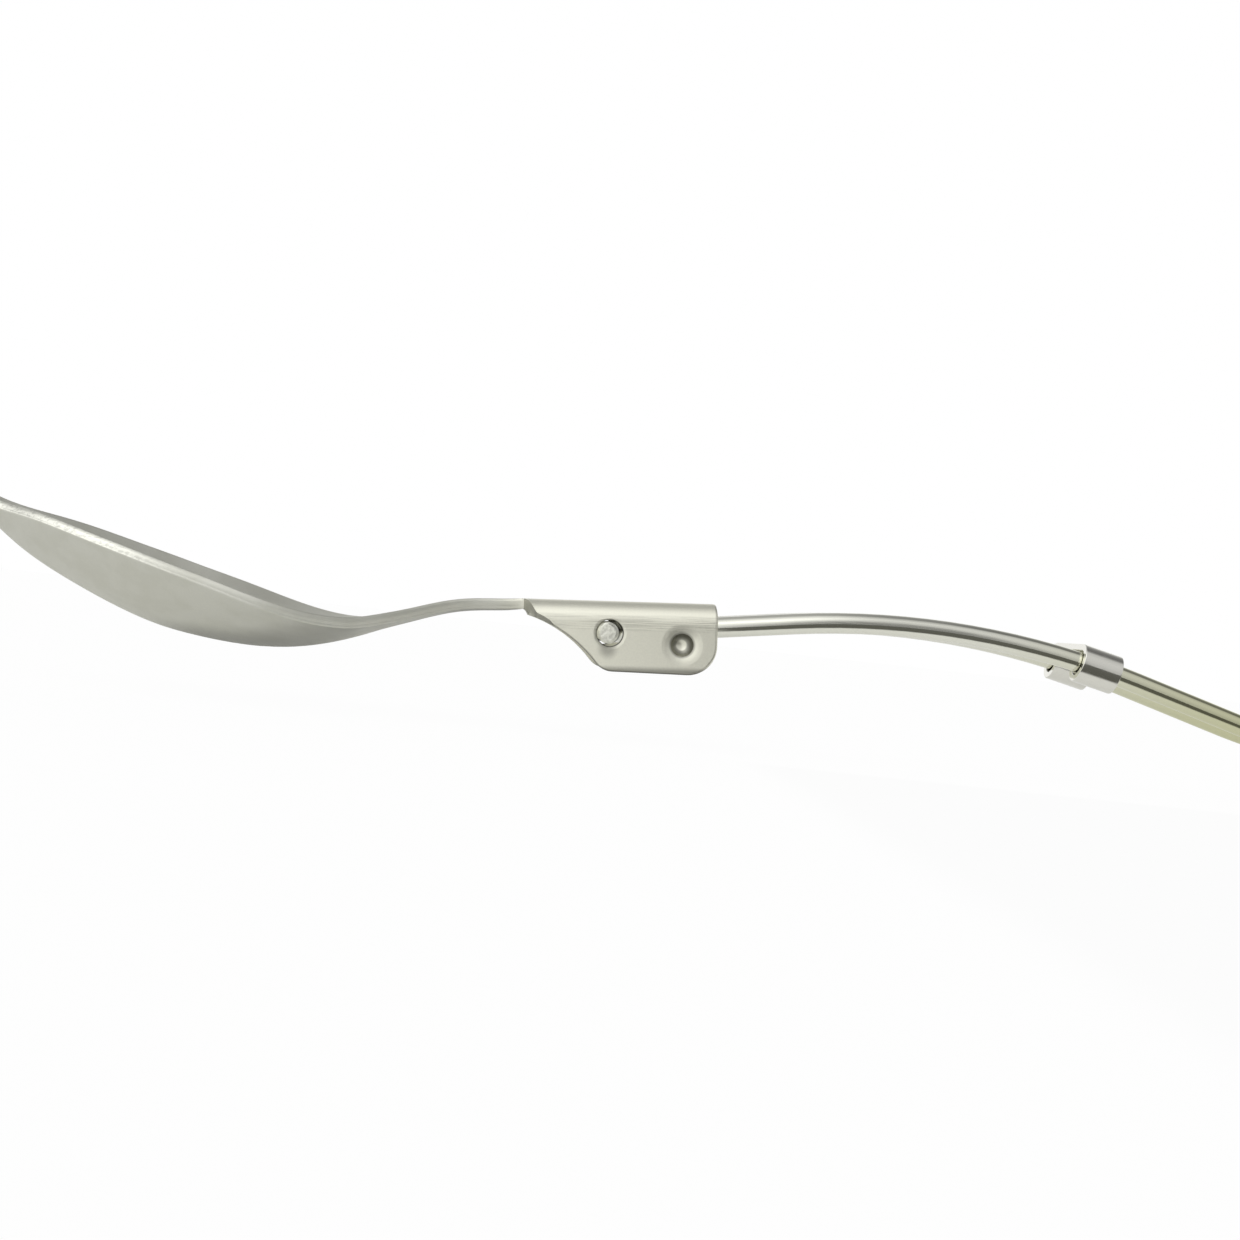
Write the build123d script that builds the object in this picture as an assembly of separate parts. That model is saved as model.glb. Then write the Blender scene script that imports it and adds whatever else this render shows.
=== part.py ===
from build123d import *
import math
import os

# Folding pocket spork: a stamped titanium head, a bent wire handle and a slide lock.
# All lengths are millimetres and all angles degrees. It is modelled about the pin axis with
# the hinge channel level, +X towards the handle's end, +Z up, and then laid on the table.

# Sheet and wire. SIDE_GAP is between wire and flange, STOP_GAP between wire and top plate.
SHEET = 1.3
WIRE = 2.65
WIRE_SPACING = 11.0
SIDE_GAP = 0.85
STOP_GAP = 0.3

# Head, measured from the pin axis to the tip of the middle tine. BOWL_DROP is how far the
# bowl's lowest point hangs under the plate. The sheet's cut edge is worn round: RIM_ROUNDING
# is the radius of its corners, RIM_BULGE the swell between them, and RIM_LEAN how far its
# inner corner stands out past square.
HEAD_REACH = 79.5
BOWL_WIDTH = 35.8
RIM_ROUNDING = 0.3
RIM_BULGE = 0.1
RIM_LEAN = 0.36
NECK_END = 10.6
HEAD_DEPTH = 18.5
BOWL_DROP = 5.75

# Cross sections of bowl and neck, from the tip to the channel: place as a share of the way
# from the neck's end to the tip, half width as a share of the bowl's, then the underside's
# middle and edge as shares of the depth.
SECTION_SHARES = [
    (1.032, 0.235, 0.975, 0.998),
    (1.008, 0.257, 0.925, 0.957),
    (0.935, 0.346, 0.684, 0.874),
    (0.863, 0.547, 0.491, 0.804),
    (0.789, 0.721, 0.336, 0.713),
    (0.716, 0.844, 0.204, 0.617),
    (0.630, 0.933, 0.092, 0.503),
    (0.550, 0.978, 0.031, 0.398),
    (0.485, 1.000, 0.003, 0.308),
    (0.427, 0.978, 0.002, 0.233),
    (0.369, 0.894, 0.028, 0.177),
    (0.311, 0.760, 0.079, 0.151),
    (0.252, 0.609, 0.149, 0.178),
    (0.195, 0.461, 0.210, 0.227),
    (0.136, 0.344, 0.267, 0.281),
    (0.079, 0.290, 0.291, 0.303),
    (0.033, 0.308, 0.297, 0.306),
]

# Tines. FRONT_RADIUS is the arc that the tips lie on, FRONT_FLARE the slope of the sides.
TINE_DEPTH = 6.0
TINE_SLOT = 1.5
TINE_PITCH = 3.9
TINE_TIP_RADIUS = 0.6
FRONT_RADIUS = 6.5
FRONT_FLARE = 50.0

# Hinge channel. The flange's leading edge slants from LEAD_RISE down to the toe, and its
# shoulder leans in at the back. The pin is drawn to one side of its hole by PIVOT_PLAY.
CHANNEL_END = 13.5
PLATE_TOP = 3.93
PLATE_CORNER_SETBACK = 0.2
PLATE_CORNER_RADIUS = 0.35
BEND_RADIUS = 2.6
EDGE_RADIUS = 0.35
FLANGE_FOOT = 5.08
FLANGE_TOE = 0.8
FLANGE_TOE_RISE = 0.3
FLANGE_LEAD_RISE = 2.05
FLANGE_LEAD_SAG = 1.1
FLANGE_TOE_RADIUS = 2.6
FLANGE_HEEL_RADIUS = 3.65
FLANGE_SHOULDER = 2.4
PIVOT_HOLE = 3.3
PIVOT_PLAY_X = 0.1
PIVOT_PLAY_Z = -0.04
PIVOT_RIM_WIDTH = 0.4
PIVOT_RIM_DEPTH = 0.08
DIMPLE_WIDTH = 2.86
DIMPLE_DEPTH = 1.0
DIMPLE_SHOULDER_WIDTH = 5.2
DIMPLE_SHOULDER_DEPTH = 0.2
DIMPLE_BUMP_WIDTH = 3.9
DIMPLE_BUMP_RISE = 0.7
DIMPLE_X = 9.1
DIMPLE_Z = 1.3

# How the bend's front is cut away, in bend radii: place behind the neck's end, then how far
# out and down the cut's upper and lower ends lie. It starts upright and turns level.
BEND_FRONT = [
    (-0.04, (0.0, -0.4), (0.0, 1.7)),
    (0.27, (0.5, -0.4), (0.5, 1.7)),
    (0.62, (1.5, 0.1), (0.15, 1.45)),
    (1.23, (1.5, 0.6), (0.0, 1.75)),
    (2.35, (1.5, 2.05), (0.0, 2.3)),
]
BEND_FRONT_FAR = 3.0

# Wire handle: the pins, a straight run, one long curve with its crown, a straight tail, a loop
PIN_BEND_RADIUS = 2.5
PIN_PROUD = 1.1
PIN_LEAN = 7.5
PIN_CHAMFER = 0.35
HANDLE_CURVE_RADIUS = 106.0
HANDLE_CROWN_X = 31.2
TAIL_SLOPE = 20.3
LOOP_START_X = 83.3

# Slide lock: a strip curled round each wire by LOCK_WRAP degrees, with LOCK_PLAY round it
LOCK_SHEET = 0.88
LOCK_PLAY = 0.3
LOCK_DROP = 0.1
LOCK_LENGTH = 5.13
LOCK_X = 62.6
LOCK_WRAP = 270.0
LOCK_EDGE_RADIUS = 0.12

# How far a cutter runs past the metal it cuts
OVERRUN = 5.0

half_spacing = WIRE_SPACING / 2
wire_radius = WIRE / 2
flange_inside = half_spacing + wire_radius + SIDE_GAP
flange_outside = flange_inside + SHEET
bend_centre_y = flange_outside - BEND_RADIUS
bend_centre_z = PLATE_TOP - BEND_RADIUS
plate_underside = PLATE_TOP - SHEET

# The wire seen from the side: directions of its two straights, and the points where they end
run_rise = math.atan2(plate_underside - STOP_GAP - wire_radius, CHANNEL_END)
run = Vector(math.cos(run_rise), 0, math.sin(run_rise))
tail_fall = math.radians(TAIL_SLOPE)
tail = Vector(math.cos(tail_fall), 0, -math.sin(tail_fall))
curve_start = run * (HANDLE_CROWN_X / run.X - HANDLE_CURVE_RADIUS * math.tan(run_rise))
curve_centre = curve_start - Vector(-run.Z, 0, run.X) * HANDLE_CURVE_RADIUS
crown = curve_centre + Vector(0, 0, HANDLE_CURVE_RADIUS)
curve_end = curve_centre + Vector(-tail.Z, 0, tail.X) * HANDLE_CURVE_RADIUS
loop_start = curve_end + tail * ((LOOP_START_X - curve_end.X) / tail.X)


def closed_outline(corners):
    """Straight lines from corner to corner and back to the first."""
    ends = corners[1:] + corners[:1]
    return Wire([Line(start, end) for start, end in zip(corners, ends)])


def section_heights(middle_share, edge_share):
    """Heights of the underside's middle and edge above the pin axis."""
    lowest = plate_underside - BOWL_DROP
    return lowest + middle_share * HEAD_DEPTH, lowest + edge_share * HEAD_DEPTH


def sheet_section(x, half_width, middle, edge, thickness):
    """One cross section of the sheet: a dished strip with rounded edges."""
    sag = edge - middle
    radius = (half_width**2 + sag**2) / (2 * sag)
    spread = math.asin(half_width / radius)
    centre = middle + radius

    def rim_point(side, depth, out):
        """A point of the rim: how deep above the outer face, and how far out past square."""
        angle = side * (spread + out / radius)
        distance = radius - depth
        return Vector(x, distance * math.sin(angle), centre - distance * math.cos(angle))

    corner = RIM_ROUNDING * (1 - math.sqrt(0.5))
    profile = [
        (0, -RIM_ROUNDING),
        (corner, -corner),
        (RIM_ROUNDING, 0),
        (thickness / 2, RIM_BULGE + RIM_LEAN / 2),
        (thickness - RIM_ROUNDING, RIM_LEAN),
        (thickness - corner, RIM_LEAN - corner),
        (thickness, RIM_LEAN - RIM_ROUNDING),
    ]
    near = [rim_point(-1, depth, out) for depth, out in profile]
    far = [rim_point(1, depth, out) for depth, out in profile]
    edges = [ThreePointArc(near[0], (x, 0, middle), far[0])]
    edges += [ThreePointArc(*far[first : first + 3]) for first in (0, 2, 4)]
    edges.append(ThreePointArc(far[-1], (x, 0, middle + thickness), near[-1]))
    near.reverse()
    edges += [ThreePointArc(*near[first : first + 3]) for first in (0, 2, 4)]
    return Wire(edges)


def neck_end_section():
    """The neck's last cross section: the flat strip that runs on as the channel's plate."""
    heights = [
        plate_underside,
        plate_underside + RIM_ROUNDING,
        PLATE_TOP - RIM_ROUNDING,
        PLATE_TOP,
    ]
    far = [(-NECK_END, bend_centre_y, height) for height in heights]
    near = [(-NECK_END, -bend_centre_y, height) for height in heights]
    return closed_outline(near[:1] + far + near[:0:-1])


def make_bowl_and_neck():
    """The dished sheet, thickened along its slope so that its wall stays even."""
    rows = []
    for reach_share, width_share, middle_share, edge_share in SECTION_SHARES:
        middle, edge = section_heights(middle_share, edge_share)
        x = -NECK_END - reach_share * (HEAD_REACH - NECK_END)
        rows.append((x, width_share * BOWL_WIDTH / 2, middle, edge))
    sections = []
    for index, (x, half_width, middle, edge) in enumerate(rows):
        before = rows[max(index - 1, 0)]
        after = rows[min(index + 1, len(rows) - 1)]
        rise = (after[2] + after[3] - before[2] - before[3]) / 2
        slope = math.atan2(abs(rise), after[0] - before[0])
        sections.append(sheet_section(x, half_width, middle, edge, SHEET / math.cos(slope)))
    sections.append(neck_end_section())
    return Solid.make_loft(sections)


def make_tine_outline():
    """Plan view of the head: an arc for the tips, flared sides, and slots between the tines."""
    flare = math.radians(FRONT_FLARE)
    front_centre = FRONT_RADIUS - HEAD_REACH
    touch_x = front_centre - FRONT_RADIUS * math.sin(flare)
    touch_y = FRONT_RADIUS * math.cos(flare)
    back_y = touch_y - touch_x * math.tan(flare)
    sides = Polygon((touch_x, touch_y), (touch_x, -touch_y), (0, -back_y), (0, back_y), align=None)
    outline = sides + Pos(front_centre, 0) * Circle(FRONT_RADIUS)
    slot_back = TINE_DEPTH - HEAD_REACH
    for side in (-1, 1):
        slot_y = side * TINE_PITCH / 2
        slot = Pos(slot_back - TINE_DEPTH / 2, slot_y) * Rectangle(TINE_DEPTH, TINE_SLOT)
        outline -= slot + Pos(slot_back, slot_y) * Circle(TINE_SLOT / 2)
    tips = [
        corner
        for corner in outline.vertices()
        if corner.X < slot_back - TINE_DEPTH / 2 and abs(corner.Y) < TINE_PITCH
    ]
    return fillet(tips, TINE_TIP_RADIUS)


def make_channel():
    """The U channel: plate, two bends and two flanges, cut to the flange's side outline."""
    depth = PLATE_TOP + FLANGE_FOOT + OVERRUN
    middle_z = PLATE_TOP - depth / 2
    outside = Pos(0, middle_z) * Rectangle(2 * flange_outside, depth)
    outside = fillet(outside.vertices().group_by(Axis.Y)[-1], BEND_RADIUS)
    inside = Pos(0, middle_z - SHEET) * Rectangle(2 * flange_inside, depth)
    inside = fillet(inside.vertices().group_by(Axis.Y)[-1], BEND_RADIUS - SHEET)
    across = Plane(origin=(-NECK_END, 0, 0), x_dir=(0, 1, 0), z_dir=(1, 0, 0))
    channel = extrude(across * (outside - inside), NECK_END + CHANNEL_END)
    side_view = Plane(origin=(0, flange_outside + OVERRUN, 0), x_dir=(1, 0, 0), z_dir=(0, -1, 0))
    channel &= extrude(side_view * make_flange_outline(), 2 * (flange_outside + OVERRUN))
    for side in (-1, 1):
        channel -= make_bend_cutter(side)
    cut_edges = [
        edge
        for edge in channel.edges()
        if abs(abs(edge.center().Y) - flange_outside) < EDGE_RADIUS / 10
        and edge.center().Z < bend_centre_z - EDGE_RADIUS
        and edge.center().X > -FLANGE_TOE - FLANGE_TOE_RADIUS
    ]
    return fillet(cut_edges, EDGE_RADIUS)


def make_flange_outline():
    """Side view of the channel: slanted leading edge, rounded toe and heel."""
    lead_top = Vector(-NECK_END, FLANGE_LEAD_RISE)
    toe = Vector(-FLANGE_TOE, FLANGE_TOE_RISE - FLANGE_FOOT)
    heel = Vector(CHANNEL_END, -FLANGE_FOOT)
    shoulder = Vector(CHANNEL_END, FLANGE_SHOULDER)
    plate_end = Vector(CHANNEL_END - PLATE_CORNER_SETBACK, PLATE_TOP)
    lead = (toe - lead_top).normalized()
    lead_middle = (lead_top + toe) / 2 + Vector(-lead.Y, lead.X) * FLANGE_LEAD_SAG
    edges = [
        ThreePointArc(lead_top, lead_middle, toe),
        Line(toe, heel),
        Line(heel, shoulder),
        Line(shoulder, plate_end),
        Line(plate_end, (-NECK_END, PLATE_TOP)),
        Line((-NECK_END, PLATE_TOP), lead_top),
    ]
    outline = Face(Wire(edges))
    lowest = outline.vertices().sort_by(Axis.Y)
    rounded = outline.fillet_2d(FLANGE_HEEL_RADIUS, [lowest[0]])
    for corner, radius in ((toe, FLANGE_TOE_RADIUS), (plate_end, PLATE_CORNER_RADIUS)):
        rounded = rounded.fillet_2d(radius, [rounded.vertices().sort_by_distance(corner)[0]])
    return rounded


def make_bend_cutter(side):
    """Takes the bend's front away along a ribbon that turns from upright to level."""
    outlines = []
    for place, upper, lower in BEND_FRONT:
        far_upper = (BEND_FRONT_FAR, min(upper[1], lower[1]))
        far_lower = (BEND_FRONT_FAR, BEND_FRONT_FAR)
        outlines.append(
            closed_outline(
                [
                    (
                        place * BEND_RADIUS - NECK_END,
                        side * (bend_centre_y + out * BEND_RADIUS),
                        PLATE_TOP - down * BEND_RADIUS,
                    )
                    for out, down in (upper, far_upper, far_lower, lower)
                ]
            )
        )
    return Solid.make_loft(outlines, ruled=True)


def make_dimple():
    """A dent open towards +Y with a soft shoulder, and the bump behind it, at the origin."""
    half_width = DIMPLE_WIDTH / 2
    dent_radius = (half_width**2 + DIMPLE_DEPTH**2) / (2 * DIMPLE_DEPTH)
    dent_centre = dent_radius - DIMPLE_DEPTH
    dent = Pos(0, dent_centre - DIMPLE_SHOULDER_DEPTH, 0) * Sphere(dent_radius)

    shoulder_run = DIMPLE_SHOULDER_WIDTH / 2 - half_width
    drop = DIMPLE_SHOULDER_DEPTH
    shoulder_radius = (shoulder_run**2 + drop**2) / (2 * drop)
    turn = math.asin(shoulder_run / shoulder_radius) / 2
    brow = (
        half_width + shoulder_run - shoulder_radius * math.sin(turn),
        shoulder_radius * (math.cos(turn) - 1),
    )
    shoulder = ThreePointArc((half_width + shoulder_run, 0), brow, (half_width, -drop))
    floor = Line(shoulder @ 1, (0, -drop))
    axis_line = Line(floor @ 1, (0, OVERRUN))
    top = Line(axis_line @ 1, (half_width + shoulder_run, OVERRUN))
    outer = Line(top @ 1, shoulder @ 0)
    profile = Face(Wire([shoulder, floor, axis_line, top, outer]))
    dent += revolve(profile, Axis.Y)

    bump_radius = ((DIMPLE_BUMP_WIDTH / 2) ** 2 + DIMPLE_BUMP_RISE**2) / (2 * DIMPLE_BUMP_RISE)
    bump = Pos(0, bump_radius - SHEET - DIMPLE_BUMP_RISE, 0) * Sphere(bump_radius)
    behind = Box(2 * OVERRUN, OVERRUN, 2 * OVERRUN)
    return dent, bump & (Pos(0, -(SHEET + OVERRUN) / 2, 0) * behind)


def make_spork_head():
    """Bowl, neck and channel in one piece of sheet, with tines, pivot holes and dimples."""
    bowl = make_bowl_and_neck()
    front = extrude(make_tine_outline(), 2 * HEAD_DEPTH, both=True)
    channel = make_channel()
    hole = Rot(X=90) * Cylinder(PIVOT_HOLE / 2, 2 * OVERRUN)
    rim_cone = Cone(PIVOT_HOLE / 2, PIVOT_HOLE / 2 + PIVOT_RIM_WIDTH, PIVOT_RIM_DEPTH)
    hole += Pos(0, -PIVOT_RIM_DEPTH / 2, 0) * Rot(X=-90) * rim_cone
    dent, bump = make_dimple()
    for side, facing in ((-1, Rot(Z=180)), (1, Rot())):
        pivot = Pos(PIVOT_PLAY_X, side * flange_outside, PIVOT_PLAY_Z) * facing
        dimple = Pos(DIMPLE_X, side * flange_outside, -DIMPLE_Z) * facing
        channel = channel - pivot * hole + dimple * bump - dimple * dent
    return (bowl & front) + channel


def make_wire_handle():
    """One wire: pin, straight run, long curve, straight tail, loop, and the same way back."""
    pin_end = flange_outside + PIN_PROUD
    pin_middle = (flange_inside + flange_outside) / 2
    lean = math.radians(PIN_LEAN)
    half_turn = (math.pi / 2 - lean) / 2
    bend_reach = PIN_BEND_RADIUS * math.tan(half_turn)
    bend_depth = PIN_BEND_RADIUS / math.cos(half_turn) - PIN_BEND_RADIUS

    def side_edges(side):
        across = Vector(0, side * half_spacing, 0)
        out = Vector(0, side * math.cos(lean), 0) - run * math.sin(lean)
        pin_tip = Vector(0, side * pin_middle, 0) + out * ((pin_end - pin_middle) / math.cos(lean))
        corner = across + run * ((pin_middle - half_spacing) * math.tan(lean))
        bend_out = corner + out * bend_reach
        bend_in = corner + run * bend_reach
        bend_middle = corner + (out + run).normalized() * bend_depth
        return [
            Line(pin_tip, bend_out),
            ThreePointArc(bend_out, bend_middle, bend_in),
            Line(bend_in, curve_start + across),
            ThreePointArc(curve_start + across, crown + across, curve_end + across),
            Line(curve_end + across, loop_start + across),
        ]

    near = side_edges(-1)
    far = side_edges(1)
    loop = ThreePointArc(
        loop_start - Vector(0, half_spacing, 0),
        loop_start + tail * half_spacing,
        loop_start + Vector(0, half_spacing, 0),
    )
    path = Wire(near + [loop] + far)
    start = Plane(origin=near[0] @ 0, z_dir=near[0] % 0)
    handle = sweep(start * Circle(wire_radius), path=path)
    pin_rims = [
        edge
        for edge in handle.edges().filter_by(GeomType.CIRCLE)
        if abs(abs(edge.arc_center.Y) - pin_end) < PIN_CHAMFER
    ]
    return chamfer(pin_rims, PIN_CHAMFER)


def make_slide_lock():
    """One strip: a flat top with both edges curled round the wires."""
    inner = wire_radius + LOCK_PLAY
    outer = inner + LOCK_SHEET
    profile = Pos(0, (inner + outer) / 2) * Rectangle(WIRE_SPACING, LOCK_SHEET)
    for side in (-1, 1):
        wrap_end = math.radians(90 - LOCK_WRAP)
        wedge_reach = 2 * outer
        middle = math.radians(90 + (360 - LOCK_WRAP) / 2)
        open_side = Polygon(
            (0, 0),
            (0, wedge_reach),
            (wedge_reach * math.cos(middle), wedge_reach * math.sin(middle)),
            (wedge_reach * math.cos(wrap_end), wedge_reach * math.sin(wrap_end)),
            align=None,
        )
        curl = Circle(outer) - Circle(inner) - open_side
        if side < 0:
            curl = mirror(curl, Plane.YZ)
        profile += Pos(side * half_spacing, 0) * curl
    strip = extrude(profile, LOCK_LENGTH)
    end_edges = strip.edges().group_by(Axis.Z)[0] + strip.edges().group_by(Axis.Z)[-1]
    strip = fillet(end_edges, LOCK_EDGE_RADIUS)
    turn = math.asin((LOCK_X - crown.X) / HANDLE_CURVE_RADIUS)
    outward = Vector(math.sin(turn), 0, math.cos(turn))
    along = Vector(math.cos(turn), 0, -math.sin(turn))
    seat = curve_centre + outward * (HANDLE_CURVE_RADIUS - LOCK_DROP)
    section = Plane(origin=seat - along * (LOCK_LENGTH / 2), x_dir=(0, 1, 0), z_dir=along)
    return section.location * strip


def rest_pitch(head, handle):
    """Tilt about the pin axis that puts the bowl's underside and the loop on one level."""
    pitch = 0.0
    for _ in range(6):
        turn = Rot(Y=pitch)
        bowl_box = (turn * head).bounding_box()
        loop_box = (turn * handle).bounding_box()
        fall = bowl_box.min.Z - loop_box.min.Z
        pitch -= math.degrees(math.atan2(fall, LOOP_START_X + HEAD_REACH / 2))
    return pitch


parts = {
    "spork_head": make_spork_head(),
    "wire_handle": make_wire_handle(),
    "slide_lock": make_slide_lock(),
}
pitch = rest_pitch(parts["spork_head"], parts["wire_handle"])
box = Compound([Rot(Y=pitch) * shape for shape in parts.values()]).bounding_box()
rest = Pos(-box.center().X, 0, -box.min.Z) * Rot(Y=pitch)

os.makedirs("parts", exist_ok=True)
for name, shape in parts.items():
    export_step(rest * shape, f"parts/{name}.step")

print("pitch", round(pitch, 4))
print("pin axis", (rest * Pos(0, 0, 0)).position)
print("curve centre", (rest * Pos(*curve_centre)).position)
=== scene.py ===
import math

import bpy
from mathutils import Matrix, Vector

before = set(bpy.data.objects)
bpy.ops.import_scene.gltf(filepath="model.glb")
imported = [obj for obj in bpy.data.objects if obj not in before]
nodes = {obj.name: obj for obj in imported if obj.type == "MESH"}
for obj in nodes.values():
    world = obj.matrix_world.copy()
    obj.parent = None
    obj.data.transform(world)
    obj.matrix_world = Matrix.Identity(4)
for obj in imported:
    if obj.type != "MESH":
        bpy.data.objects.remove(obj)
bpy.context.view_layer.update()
bpy.ops.object.select_all(action="DESELECT")
scene = bpy.context.scene

# Places and sizes are in millimetres, in the open spork's frame, and angles in degrees.

# The camera stands level with the open spork, square to its length, and is rolled a little
# because the spork is tilted in the picture
CAMERA_PLACE = (-18.202, -232.0, 7.802)
CAMERA_YAW = 3.668
CAMERA_DIP = 0.297
CAMERA_ROLL = 6.2238
LENS = 52.54
SENSOR = 36.0
NEAR_CLIP = 10.0
FAR_CLIP = 20000.0

# Metal and paper colours
BLASTED_TITANIUM = "#DCDCD3"
BLASTED_SHADE = "#D7D7CD"
PRESSED_TITANIUM = "#F5F4E5"
# The rubbed cut edge, lighter partly as a painted highlight
EDGE_TITANIUM_HIGHLIGHT = "#F4F4EA"
WIRE_TITANIUM = "#EFEFE4"
WIRE_TAIL_TINT = "#D8D8B4"
STAINLESS_BAND = "#E9E8E0"
PAPER_WHITE = "#F6F6F4"
PAPER_FIBRE = "#F0F0EE"
# Painted shade for the floor at the tent's open front
PAPER_FRONT_SHADE = "#62625C"
PLAIN_WHITE = "#FFFFFF"

# The floor lies low enough for the handle folded under the bowl, and has painted shade in front
# where the tent is open. A
# share of it is plain white to the camera and to metal; the rest is lit paper with its shadow.
FLOOR_Z = -7.0
FLOOR_WIDTH = 4000.0
FRONT_FADE_Y = (-16.8, -22.6)
FRONT_FADE_X = (9.5, 17.0)
FLOOR_SHARE_CAMERA = 0.97
FLOOR_SHARE_METAL = 0.4
PAPER_ROUGH = 0.9
FIBRE_GRAIN = 0.8

# Brightness of the light tent round the spork, by the angle from the front over the top. A
# lamp shines through its left side, its middle is closed, a dark gap is left for the camera
# beside the middle, and its right side is plain cloth. Its back is the white backdrop. The
# fades are the sideways parts of a direction between which one side turns into the next.
LAMP_SIDE = [
    (-180, 1.0), (-90, 0.9), (-15, 0.9), (12, 0.95), (36, 1.3), (62, 1.55), (88, 1.35),
    (104, 0.38), (138, 0.34), (154, 1.0), (180, 1.0),
]
MIDDLE_SIDE = [
    (-180, 1.0), (-90, 0.9), (-15, 1.0), (12, 1.02), (28, 1.02), (40, 1.3), (52, 1.33),
    (64, 1.02), (82, 0.74), (98, 0.42), (138, 0.42), (154, 1.0), (180, 1.0),
]
GAP_SIDE = [
    (-180, 1.0), (-90, 0.7), (-40, 0.3), (-15, 0.19), (8, 0.22), (20, 0.3), (36, 0.6),
    (56, 0.72), (80, 0.5), (93, 0.25), (114, 0.26), (138, 0.4), (154, 1.0), (180, 1.0),
]
CLOTH_SIDE = [
    (-180, 1.0), (-90, 0.8), (-15, 0.5), (8, 0.57), (22, 0.64), (46, 0.68), (72, 0.6),
    (84, 0.3), (93, 0.16), (114, 0.2), (138, 0.4), (154, 1.0), (180, 1.0),
]
LAMP_FADE = (-0.05, -0.42)
GAP_FADE = (0.03, 0.18)
CLOTH_FADE = (0.25, 0.33)

# Along the head: the bowl's middle, where the neck turns into the pressed channel, where the
# bowl's cut edge is rubbed lighter and its colour lifted further as a painted highlight, and
# where its belly is in its own shade
BOWL_MIDDLE_X = -55.0
CHANNEL_FADE_X = (-20.0, -13.0)
EDGE_FADE_X = (-53.0, -67.0)
BELLY_FADE_X = (-66.0, -54.0)

# Which way a face of the head looks, as parts of its normal: the cut edge outward and upward,
# the belly and the channel's lower edge down, its leading edge ahead, its sides outward
EDGE_OUTWARD = (0.0, 0.3)
EDGE_UPWARD = (-0.05, 0.2)
BELLY_DOWNWARD = (-0.9, -0.99)
LOWER_EDGE_DOWNWARD = (-0.2, -0.8)
LEADING_EDGE_AHEAD = (-0.25, -0.8)
FLANGE_OUTWARD = (-0.8, -0.95)

# The channel's sides: the slope of the open spork, the lower edge with painted shade above it,
# the band of forming lines, the pin hole with painted shade in it and the painted shadow below
# the pin, and the punch mark with a painted shade ring round its middle and a painted shade
# brow above it. Places are (X, Z), reaches are from those places.
CHANNEL_SLOPE = 0.0784
FOOT_Z = 2.2
FOOT_SHADE_HEIGHT = 0.8
LINES_FROM_Z = (7.0, 7.6)
LINES_TO_Z = (9.4, 8.9)
LINES_ALONG_SHARE = 0.03
HOLE_PLACE = (-4.91, 6.46)
HOLE_RADIUS = 1.65
HOLE_RIM = 0.12
# The painted shadow below the protruding pin
PIN_SHADOW_PLACE = (-5.0, 4.5)
PIN_SHADOW_REACH = (1.6, 0.3)
DIMPLE_PLACE = (4.16, 5.92)
RING_INSIDE = (0.55, 0.8)
RING_OUTSIDE = (1.75, 1.45)
BROW_REACH = (2.8, 1.5)
BROW_ABOVE = (0.6, 1.8)

# How far each mark of wear or pressing, and each painted shade, darkens the head, where 1 is
# black: the nicks and forming lines are marks, the others painted shade
MARK_AND_SHADE_SHARES = {
    "nicks": 0.2, "forming_lines": 0.16, "hole": 0.9, "ring": 0.5, "brow": 0.35, "foot": 0.55,
    "lower_edge": 0.55, "leading_edge": 0.5, "pin_shadow": 0.42, "belly": 0.42,
}

# The head's grain, the depth of its bumps and its roughness
CLOUD_GRAIN = 4.0
SPECKLE_GRAIN = 0.25
NICK_GRAIN = 0.3
NICK_STRETCH = (2.0, 1.0, 1.0)
LINE_GRAIN = 0.2
GRIT_GRAIN = 0.14
GRIT_DEPTH = 0.01
GRIT_STRENGTH = 0.35
LINE_DEPTH = 0.03
LINE_STRENGTH = 0.5
NICK_DEPTH_SHARE = 0.4
SPECKLE_SHADE = 0.96
BLASTED_ROUGH = 0.56
PRESSED_ROUGH = 0.40
EDGE_SMOOTHING = 0.14
SPECKLE_ROUGH = 0.03

# The wire: where its tail is tinted and its pins begin, its drawing lines, and its sawn ends
TAIL_FADE_X = (40.0, 80.0)
PIN_FADE_Y = (7.0, 8.0)
PIN_ENDWISE = (0.3, 0.6)
# How dark the painted shade on the pins' sides is
PIN_SIDE_SHADE = 0.75
PIN_ROUGH = 0.22
SAWN_GRAIN = 0.5
SAWN_SHADE = 0.25
SAWN_DEPTH = 0.2
SAWN_STRENGTH = 0.6
DRAWN_GRAIN = 0.12
DRAWN_STRETCH = (60.0, 1.0, 1.0)
DRAWN_DEPTH = 0.004
DRAWN_STRENGTH = 0.25
DRAWN_ROUGH = (0.09, 0.16)

# The band: its worn spots and its rolling marks
WORN_GRAIN = 1.2
WORN_ROUGH = (0.08, 0.2)
ROLLED_GRAIN = 0.1
ROLLED_STRETCH = (1.0, 30.0, 30.0)
ROLLED_DEPTH = 0.004
ROLLED_STRENGTH = 0.2

# Levels of the noise between which one look turns into another
SOFT_LEVELS = (0.35, 0.65)
WIDE_LEVELS = (0.3, 0.7)
WORN_LEVELS = (0.35, 0.7)
LINE_LEVELS = (0.36, 0.64)
NICK_LEVELS = (0.5, 0.62)


def linear(colour):
    """An sRGB hex colour as the linear values that Blender works in."""
    channels = [int(colour[i : i + 2], 16) / 255 for i in (1, 3, 5)]
    return [c / 12.92 if c <= 0.04045 else ((c + 0.055) / 1.055) ** 2.4 for c in channels] + [1.0]


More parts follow.
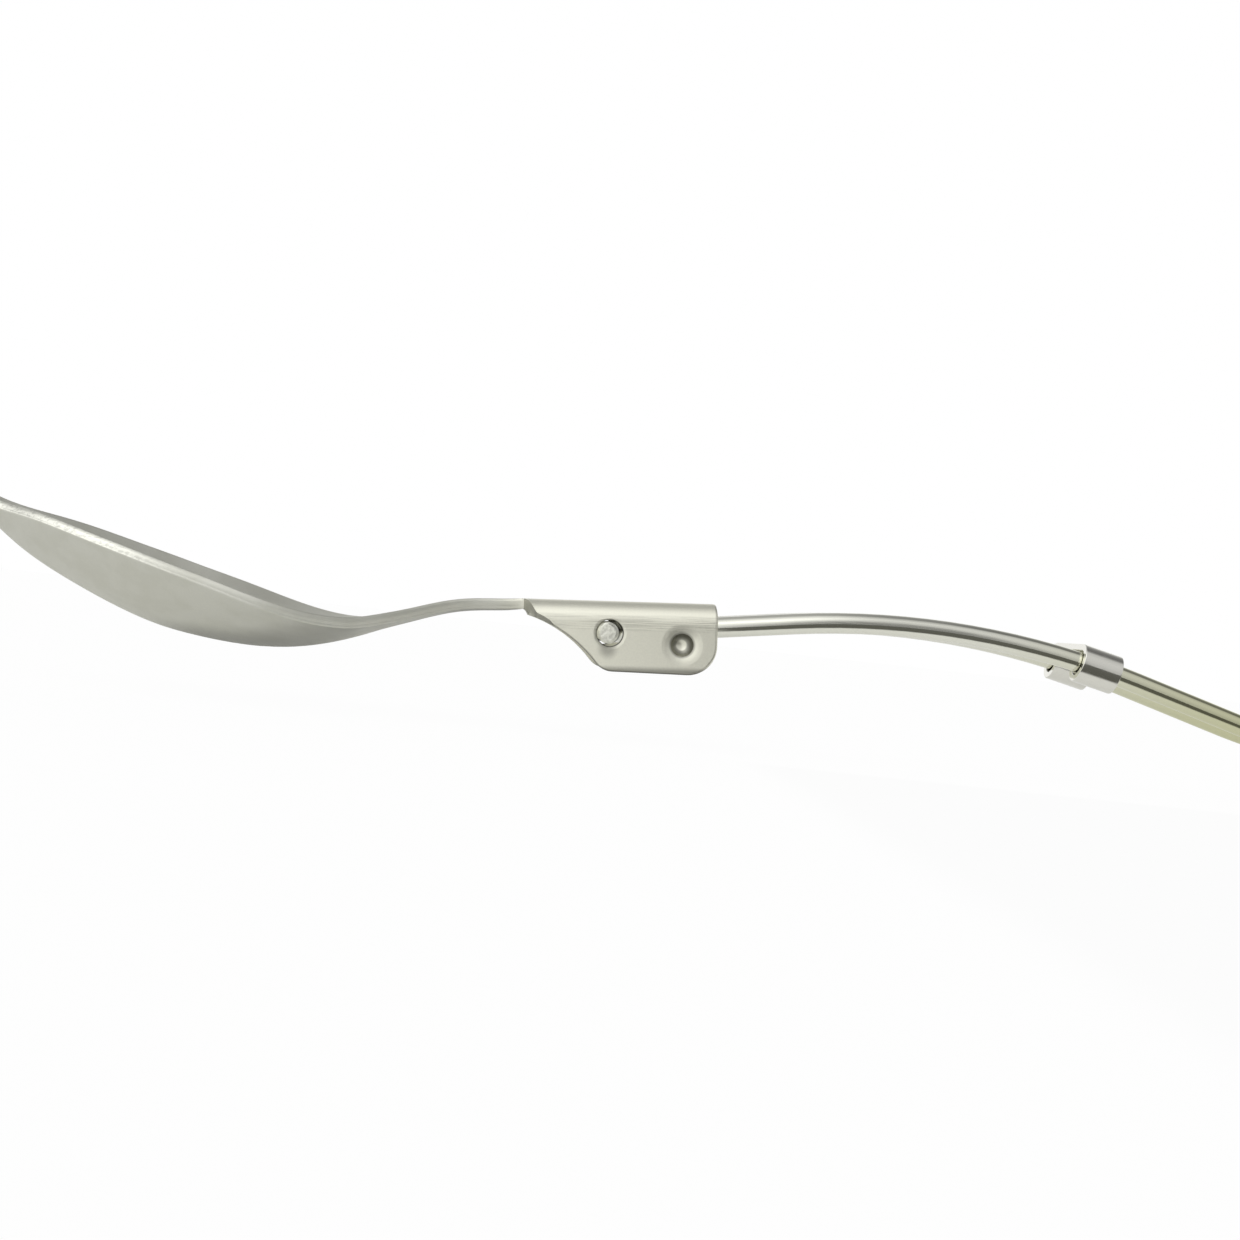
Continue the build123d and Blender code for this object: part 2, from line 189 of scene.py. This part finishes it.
def add_node(tree, kind, settings=None, **inputs):
    """A node of that kind with its settings and inputs, where an input is a value or a socket."""
    node = tree.nodes.new(kind)
    for name, value in (settings or {}).items():
        setattr(node, name, value)
    for name, value in inputs.items():
        by_number = name[0] == "i" and name[1:].isdigit()
        socket = node.inputs[int(name[1:]) if by_number else name.replace("_", " ")]
        if isinstance(value, bpy.types.NodeSocket):
            tree.links.new(value, socket)
        else:
            socket.default_value = value
    return node


def sums(tree, operation, *values):
    """The result of a sum on sockets or numbers."""
    named = {f"i{index}": value for index, value in enumerate(values)}
    return add_node(tree, "ShaderNodeMath", {"operation": operation}, **named).outputs[0]


def product(tree, first, *others):
    """Sockets or numbers multiplied together."""
    for other in others:
        first = sums(tree, "MULTIPLY", first, other)
    return first


def vectors(tree, operation, *values):
    """The outputs of a sum on vectors."""
    named = {f"i{index}": value for index, value in enumerate(values)}
    return add_node(tree, "ShaderNodeVectorMath", {"operation": operation}, **named).outputs


def split(tree, vector):
    """The X, Y and Z of a vector."""
    return add_node(tree, "ShaderNodeSeparateXYZ", Vector=vector).outputs


def fade(tree, value, start, end, low=0.0, high=1.0):
    """A soft change from low to high while the value runs from start to end."""
    named = {"i0": value, "i1": start, "i2": end, "i3": low, "i4": high}
    settings = {"interpolation_type": "SMOOTHSTEP"}
    return add_node(tree, "ShaderNodeMapRange", settings, **named).outputs[0]


def blend(tree, share, first, second):
    """Two colours, or colour sockets, mixed by a share."""
    node = add_node(tree, "ShaderNodeMix", {"data_type": "RGBA"}, i0=share, i6=first, i7=second)
    return node.outputs[2]


def darken(tree, colour, *shades):
    """A colour multiplied by one shade after another."""
    settings = {"data_type": "RGBA", "blend_type": "MULTIPLY"}
    for shade in shades:
        grey = add_node(tree, "ShaderNodeCombineColor", i0=shade, i1=shade, i2=shade).outputs[0]
        colour = add_node(tree, "ShaderNodeMix", settings, i0=1.0, i6=colour, i7=grey).outputs[2]
    return colour


def noise(tree, place, grain, detail=2.0, stretch=None):
    """Even noise with spots about one grain wide, longer along the axes that stretch names."""
    if stretch:
        place = vectors(tree, "DIVIDE", place, stretch)[0]
    node = add_node(tree, "ShaderNodeTexNoise", Vector=place, Scale=1 / grain, Detail=detail)
    return node.outputs["Fac"]


def bump(tree, height, depth, strength, over=None):
    """A surface raised by a height, on top of another bump where one is given."""
    node = add_node(
        tree, "ShaderNodeBump", Strength=strength, Distance=depth / 1000, Height=height
    )
    if over:
        tree.links.new(over, node.inputs["Normal"])
    return node.outputs[0]


def new_finish(name):
    """A new material: its node tree and its shader, which stays Blender's own."""
    material = bpy.data.materials.new(name)
    material.use_nodes = True
    shader = material.node_tree.nodes["Principled BSDF"]
    shader.inputs["Metallic"].default_value = 1.0
    return material, material.node_tree, shader


def place_in_mm(tree):
    """Where a point lies on its own piece, and which way it faces there."""
    place = add_node(tree, "ShaderNodeTexCoord").outputs
    scaled = add_node(tree, "ShaderNodeVectorMath", {"operation": "SCALE"}, i0=place["Object"])
    scaled.inputs["Scale"].default_value = 1000
    return scaled.outputs[0], place["Normal"]


def from_axis(tree, where, place):
    """Distance from an axis across the spork through a place (X, Z), and the height above it."""
    across = sums(tree, "SUBTRACT", where["X"], place[0])
    above = sums(tree, "SUBTRACT", where["Z"], place[1])
    square = sums(tree, "MULTIPLY_ADD", across, across, product(tree, above, above))
    return sums(tree, "SQRT", square), above


def place_camera():
    """The camera, turned, dipped and rolled from its place in front of the spork."""
    data = bpy.data.cameras.new("camera")
    data.lens = LENS
    data.sensor_width = SENSOR
    data.sensor_fit = "HORIZONTAL"
    data.clip_start = NEAR_CLIP / 1000
    data.clip_end = FAR_CLIP / 1000
    camera = bpy.data.objects.new("camera", data)
    scene.collection.objects.link(camera)
    yaw = math.radians(CAMERA_YAW)
    dip = math.radians(CAMERA_DIP)
    level = math.cos(dip)
    forward = Vector((math.sin(yaw) * level, math.cos(yaw) * level, -math.sin(dip)))
    right = forward.cross(Vector((0, 0, 1))).normalized()
    up = right.cross(forward)
    turn = Matrix((right, up, -forward)).transposed()
    tilt = Matrix.Rotation(-math.radians(CAMERA_ROLL), 3, "Y")
    pose = (tilt @ turn).to_4x4()
    pose.translation = Vector(CAMERA_PLACE) / 1000
    camera.matrix_world = pose
    scene.camera = camera


def tent_ramp(tree, share, levels, peak):
    """One side's brightness, as a colour ramp over the share of a full turn."""
    ramp = add_node(tree, "ShaderNodeValToRGB", Fac=share)
    stops = ramp.color_ramp.elements
    stops.remove(stops[1])
    for index, (degrees, level) in enumerate(levels):
        position = (degrees + 180) / 360
        stop = stops[0] if index == 0 else stops.new(position)
        stop.position = position
        stop.color = [level / peak] * 3 + [1.0]
    ramp.color_ramp.interpolation = "EASE"
    return ramp.outputs["Color"]


def light_tent():
    """The world as a tent of cloth lit from outside, which polished metal mirrors."""
    world = bpy.data.worlds.new("light_tent")
    scene.world = world
    world.use_nodes = True
    tree = world.node_tree
    tree.nodes.clear()
    view = split(tree, add_node(tree, "ShaderNodeTexCoord").outputs["Generated"])
    front = product(tree, view["Y"], -1.0)
    angle = sums(tree, "ARCTAN2", view["Z"], front)
    share = sums(tree, "MULTIPLY_ADD", angle, 0.5 / math.pi, 0.5)
    peak = max(level for _, level in LAMP_SIDE)
    tent = tent_ramp(tree, share, MIDDLE_SIDE, peak)
    sides = ((GAP_SIDE, GAP_FADE), (CLOTH_SIDE, CLOTH_FADE), (LAMP_SIDE, LAMP_FADE))
    for levels, reach in sides:
        side = tent_ramp(tree, share, levels, peak)
        tent = blend(tree, fade(tree, view["X"], *reach), tent, side)
    light = add_node(tree, "ShaderNodeBackground", Color=tent, Strength=peak)
    add_node(tree, "ShaderNodeOutputWorld", Surface=light.outputs[0])


def floor():
    """White paper, with painted shade at the open front of the tent. The camera sees it as white
    with a trace of the spork's shadow, and metal sees more of that shadow."""
    bpy.ops.mesh.primitive_plane_add(size=FLOOR_WIDTH / 1000, location=(0, 0, FLOOR_Z / 1000))
    plane = bpy.context.object
    plane.name = "floor"
    material, tree, shader = new_finish("white_paper")
    shader.inputs["Metallic"].default_value = 0.0
    shader.inputs["Roughness"].default_value = PAPER_ROUGH
    place, _ = place_in_mm(tree)
    where = split(tree, place)
    fibres = fade(tree, noise(tree, place, FIBRE_GRAIN, detail=3.0), *WIDE_LEVELS)
    paper = blend(tree, fibres, linear(PAPER_WHITE), linear(PAPER_FIBRE))
    # Painted shade at the tent's open front
    front = fade(tree, where["Y"], *FRONT_FADE_Y)
    front_shade = product(tree, front, fade(tree, where["X"], *FRONT_FADE_X))
    colour = blend(tree, front_shade, paper, linear(PAPER_FRONT_SHADE))
    tree.links.new(colour, shader.inputs["Base Color"])

    # To the camera the plain share is white, and to metal it has the paper's colour with its
    # painted front shade
    rays = add_node(tree, "ShaderNodeLightPath").outputs
    metal = sums(tree, "ADD", rays["Is Glossy Ray"], rays["Is Transmission Ray"])
    camera = rays["Is Camera Ray"]
    glow = blend(tree, camera, colour, linear(PLAIN_WHITE))
    plain = add_node(tree, "ShaderNodeEmission", Color=glow, Strength=1.0).outputs[0]
    to_camera = product(tree, camera, FLOOR_SHARE_CAMERA)
    share = sums(tree, "MULTIPLY_ADD", metal, FLOOR_SHARE_METAL, to_camera)
    seen = add_node(tree, "ShaderNodeMixShader", i0=share, i1=shader.outputs[0], i2=plain)
    tree.links.new(seen.outputs[0], tree.nodes["Material Output"].inputs["Surface"])
    plane.data.materials.append(material)


def cut_edge(tree, where, normal, facing):
    """The bowl's cut edge, which looks outward and upward at once as no other face of it does."""
    past_middle = sums(tree, "SUBTRACT", where["X"], BOWL_MIDDLE_X)
    towards_tip = sums(tree, "MINIMUM", past_middle, 0.0)
    outward = add_node(tree, "ShaderNodeCombineXYZ", X=towards_tip, Y=where["Y"], Z=0.0)
    outward = vectors(tree, "NORMALIZE", outward.outputs[0])[0]
    outwardness = vectors(tree, "DOT_PRODUCT", normal, outward)["Value"]
    return product(
        tree,
        fade(tree, outwardness, *EDGE_OUTWARD),
        fade(tree, facing["Z"], *EDGE_UPWARD),
        fade(tree, where["X"], *EDGE_FADE_X),
    )


def forming_lines(tree, where, level):
    """Fine lines that the press drew along the channel's sides."""
    slow_x = product(tree, where["X"], LINES_ALONG_SHARE)
    along = add_node(tree, "ShaderNodeCombineXYZ", X=slow_x, Y=0.0, Z=level).outputs[0]
    lines = noise(tree, along, LINE_GRAIN)
    return product(
        tree,
        fade(tree, level, *LINES_FROM_Z),
        fade(tree, level, *LINES_TO_Z),
        fade(tree, lines, *LINE_LEVELS),
    )


def painted_head_shades(tree, where, facing, channel, level):
    """Painted shade on the head, each as a share from 0 to 1: in the pin hole, below the pin,
    round and above the punch mark, along the channel's foot, lower and leading edges, and under
    the belly.
    """
    from_hole, _ = from_axis(tree, where, HOLE_PLACE)
    from_pin_shadow, _ = from_axis(tree, where, PIN_SHADOW_PLACE)
    from_dimple, above = from_axis(tree, where, DIMPLE_PLACE)
    ring_inside = fade(tree, from_dimple, *RING_INSIDE)
    ring_outside = fade(tree, from_dimple, *RING_OUTSIDE)
    brow_reach = fade(tree, from_dimple, *BROW_REACH)
    pin_shadow_reach = fade(tree, from_pin_shadow, *PIN_SHADOW_REACH)
    foot = fade(tree, level, FOOT_Z + FOOT_SHADE_HEIGHT, FOOT_Z)
    belly = fade(tree, facing["Z"], *BELLY_DOWNWARD)
    return {
        "hole": fade(tree, from_hole, HOLE_RADIUS + HOLE_RIM, HOLE_RADIUS),
        "pin_shadow": product(tree, pin_shadow_reach, fade(tree, facing["Y"], *FLANGE_OUTWARD)),
        "ring": product(tree, ring_inside, ring_outside),
        "brow": product(tree, brow_reach, fade(tree, above, *BROW_ABOVE)),
        "foot": product(tree, foot, channel),
        "lower_edge": product(tree, fade(tree, facing["Z"], *LOWER_EDGE_DOWNWARD), channel),
        "leading_edge": product(tree, fade(tree, facing["X"], *LEADING_EDGE_AHEAD), channel),
        "belly": product(tree, belly, fade(tree, where["X"], *BELLY_FADE_X)),
    }


def blasted_titanium():
    """The head: bead-blasted titanium sheet, grey and matt, that the press has smoothed and
    brightened along the channel, with a tumbled edge round the bowl, rubbed lighter and lifted
    further toward the tip as a painted highlight, and painted shade in its hollows and under it."""
    material, tree, shader = new_finish("bead_blasted_titanium")
    place, normal = place_in_mm(tree)
    where = split(tree, place)
    facing = split(tree, normal)
    channel = fade(tree, where["X"], *CHANNEL_FADE_X)
    level = sums(tree, "MULTIPLY_ADD", where["X"], -CHANNEL_SLOPE, where["Z"])
    edge = cut_edge(tree, where, normal, facing)

    # Cloudy patches from the blasting, the brighter channel, and the edge rubbed lighter with a
    # painted highlight on it
    clouds = fade(tree, noise(tree, place, CLOUD_GRAIN, detail=4.0), *SOFT_LEVELS)
    blasted = blend(tree, clouds, linear(BLASTED_TITANIUM), linear(BLASTED_SHADE))
    colour = blend(tree, channel, blasted, linear(PRESSED_TITANIUM))
    colour = blend(tree, edge, colour, linear(EDGE_TITANIUM_HIGHLIGHT))

    # The grit's speckle over all of it, nicks in the edge, forming lines, and painted shade
    speckle = noise(tree, place, SPECKLE_GRAIN, detail=3.0)
    nicks = noise(tree, place, NICK_GRAIN, detail=4.0, stretch=NICK_STRETCH)
    nicked = product(tree, edge, fade(tree, nicks, *NICK_LEVELS))
    lined = product(tree, forming_lines(tree, where, level), channel)
    # Painted shade in the hole, below the pin, round and above the punch mark, along the
    # channel's edges and under the belly
    marks = painted_head_shades(tree, where, facing, channel, level)
    marks.update(nicks=nicked, forming_lines=lined)
    shades = [fade(tree, speckle, *WIDE_LEVELS, SPECKLE_SHADE, 1.0)]
    for name, share in MARK_AND_SHADE_SHARES.items():
        shades.append(sums(tree, "MULTIPLY_ADD", marks[name], -share, 1.0))
    tree.links.new(darken(tree, colour, *shades), shader.inputs["Base Color"])

    # Matt where it was blasted, smoother where the press and the tumbling rubbed it
    rough = fade(tree, channel, 0.0, 1.0, BLASTED_ROUGH, PRESSED_ROUGH)
    rough = sums(tree, "SUBTRACT", rough, product(tree, edge, EDGE_SMOOTHING))
    uneven = fade(tree, speckle, *WIDE_LEVELS, -SPECKLE_ROUGH, SPECKLE_ROUGH)
    tree.links.new(sums(tree, "ADD", rough, uneven), shader.inputs["Roughness"])

    # Grit all over, with the lines raised and the nicks sunk into it
    grit = bump(tree, noise(tree, place, GRIT_GRAIN), GRIT_DEPTH, GRIT_STRENGTH)
    pressed = sums(tree, "SUBTRACT", lined, product(tree, nicked, NICK_DEPTH_SHARE))
    raised = bump(tree, pressed, LINE_DEPTH, LINE_STRENGTH, over=grit)
    tree.links.new(raised, shader.inputs["Normal"])
    return material


def polished_titanium():
    """The handle: drawn titanium wire, polished bright, with faint lines along its length, a
    straw tint towards its end, and pins that are sawn off blunt and dull, with painted shade on
    their sides in their holes."""
    material, tree, shader = new_finish("polished_titanium")
    place, normal = place_in_mm(tree)
    where = split(tree, place)
    facing = split(tree, normal)
    tail = fade(tree, where["X"], *TAIL_FADE_X)
    colour = blend(tree, tail, linear(WIRE_TITANIUM), linear(WIRE_TAIL_TINT))

    # The pins' sides in their holes get painted shade, and their sawn ends are blotchy
    pin = fade(tree, sums(tree, "ABSOLUTE", where["Y"]), *PIN_FADE_Y)
    endwise = fade(tree, sums(tree, "ABSOLUTE", facing["Y"]), *PIN_ENDWISE)
    side = product(tree, pin, sums(tree, "SUBTRACT", 1.0, endwise))
    sawn = product(tree, pin, fade(tree, endwise, 0.0, 1.0))
    blotches = noise(tree, place, SAWN_GRAIN, detail=3.0)
    blotched = fade(tree, blotches, *SOFT_LEVELS, -SAWN_SHADE, 0.0)
    side_shade = sums(tree, "MULTIPLY_ADD", side, -PIN_SIDE_SHADE, 1.0)
    sawn_shade = sums(tree, "MULTIPLY_ADD", sawn, blotched, 1.0)
    tree.links.new(darken(tree, colour, side_shade, sawn_shade), shader.inputs["Base Color"])

    # Drawing lines run along the wire, and a saw's burrs stand on its ends
    drawn = noise(tree, place, DRAWN_GRAIN, stretch=DRAWN_STRETCH)
    drawn_rough = fade(tree, drawn, *WIDE_LEVELS, *DRAWN_ROUGH)
    rough = sums(tree, "MULTIPLY_ADD", pin, PIN_ROUGH, drawn_rough)
    tree.links.new(rough, shader.inputs["Roughness"])
    lines = bump(tree, drawn, DRAWN_DEPTH, DRAWN_STRENGTH)
    burrs = bump(tree, blotches, SAWN_DEPTH, product(tree, sawn, SAWN_STRENGTH), over=lines)
    tree.links.new(burrs, shader.inputs["Normal"])
    return material


def polished_stainless():
    """The slide: a polished stainless band, with rolling marks round it and worn spots."""
    material, tree, shader = new_finish("polished_stainless")
    place, _ = place_in_mm(tree)
    shader.inputs["Base Color"].default_value = linear(STAINLESS_BAND)
    worn = noise(tree, place, WORN_GRAIN, detail=4.0)
    tree.links.new(fade(tree, worn, *WORN_LEVELS, *WORN_ROUGH), shader.inputs["Roughness"])
    rolled = noise(tree, place, ROLLED_GRAIN, stretch=ROLLED_STRETCH)
    marks = bump(tree, rolled, ROLLED_DEPTH, ROLLED_STRENGTH)
    tree.links.new(marks, shader.inputs["Normal"])
    return material


place_camera()
light_tent()
floor()
scene.view_settings.view_transform = "Standard"

finishes = {
    "spork_head": blasted_titanium(),
    "wire_handle": polished_titanium(),
    "slide_lock": polished_stainless(),
}
for name, material in finishes.items():
    nodes[name].data.materials.clear()
    nodes[name].data.materials.append(material)
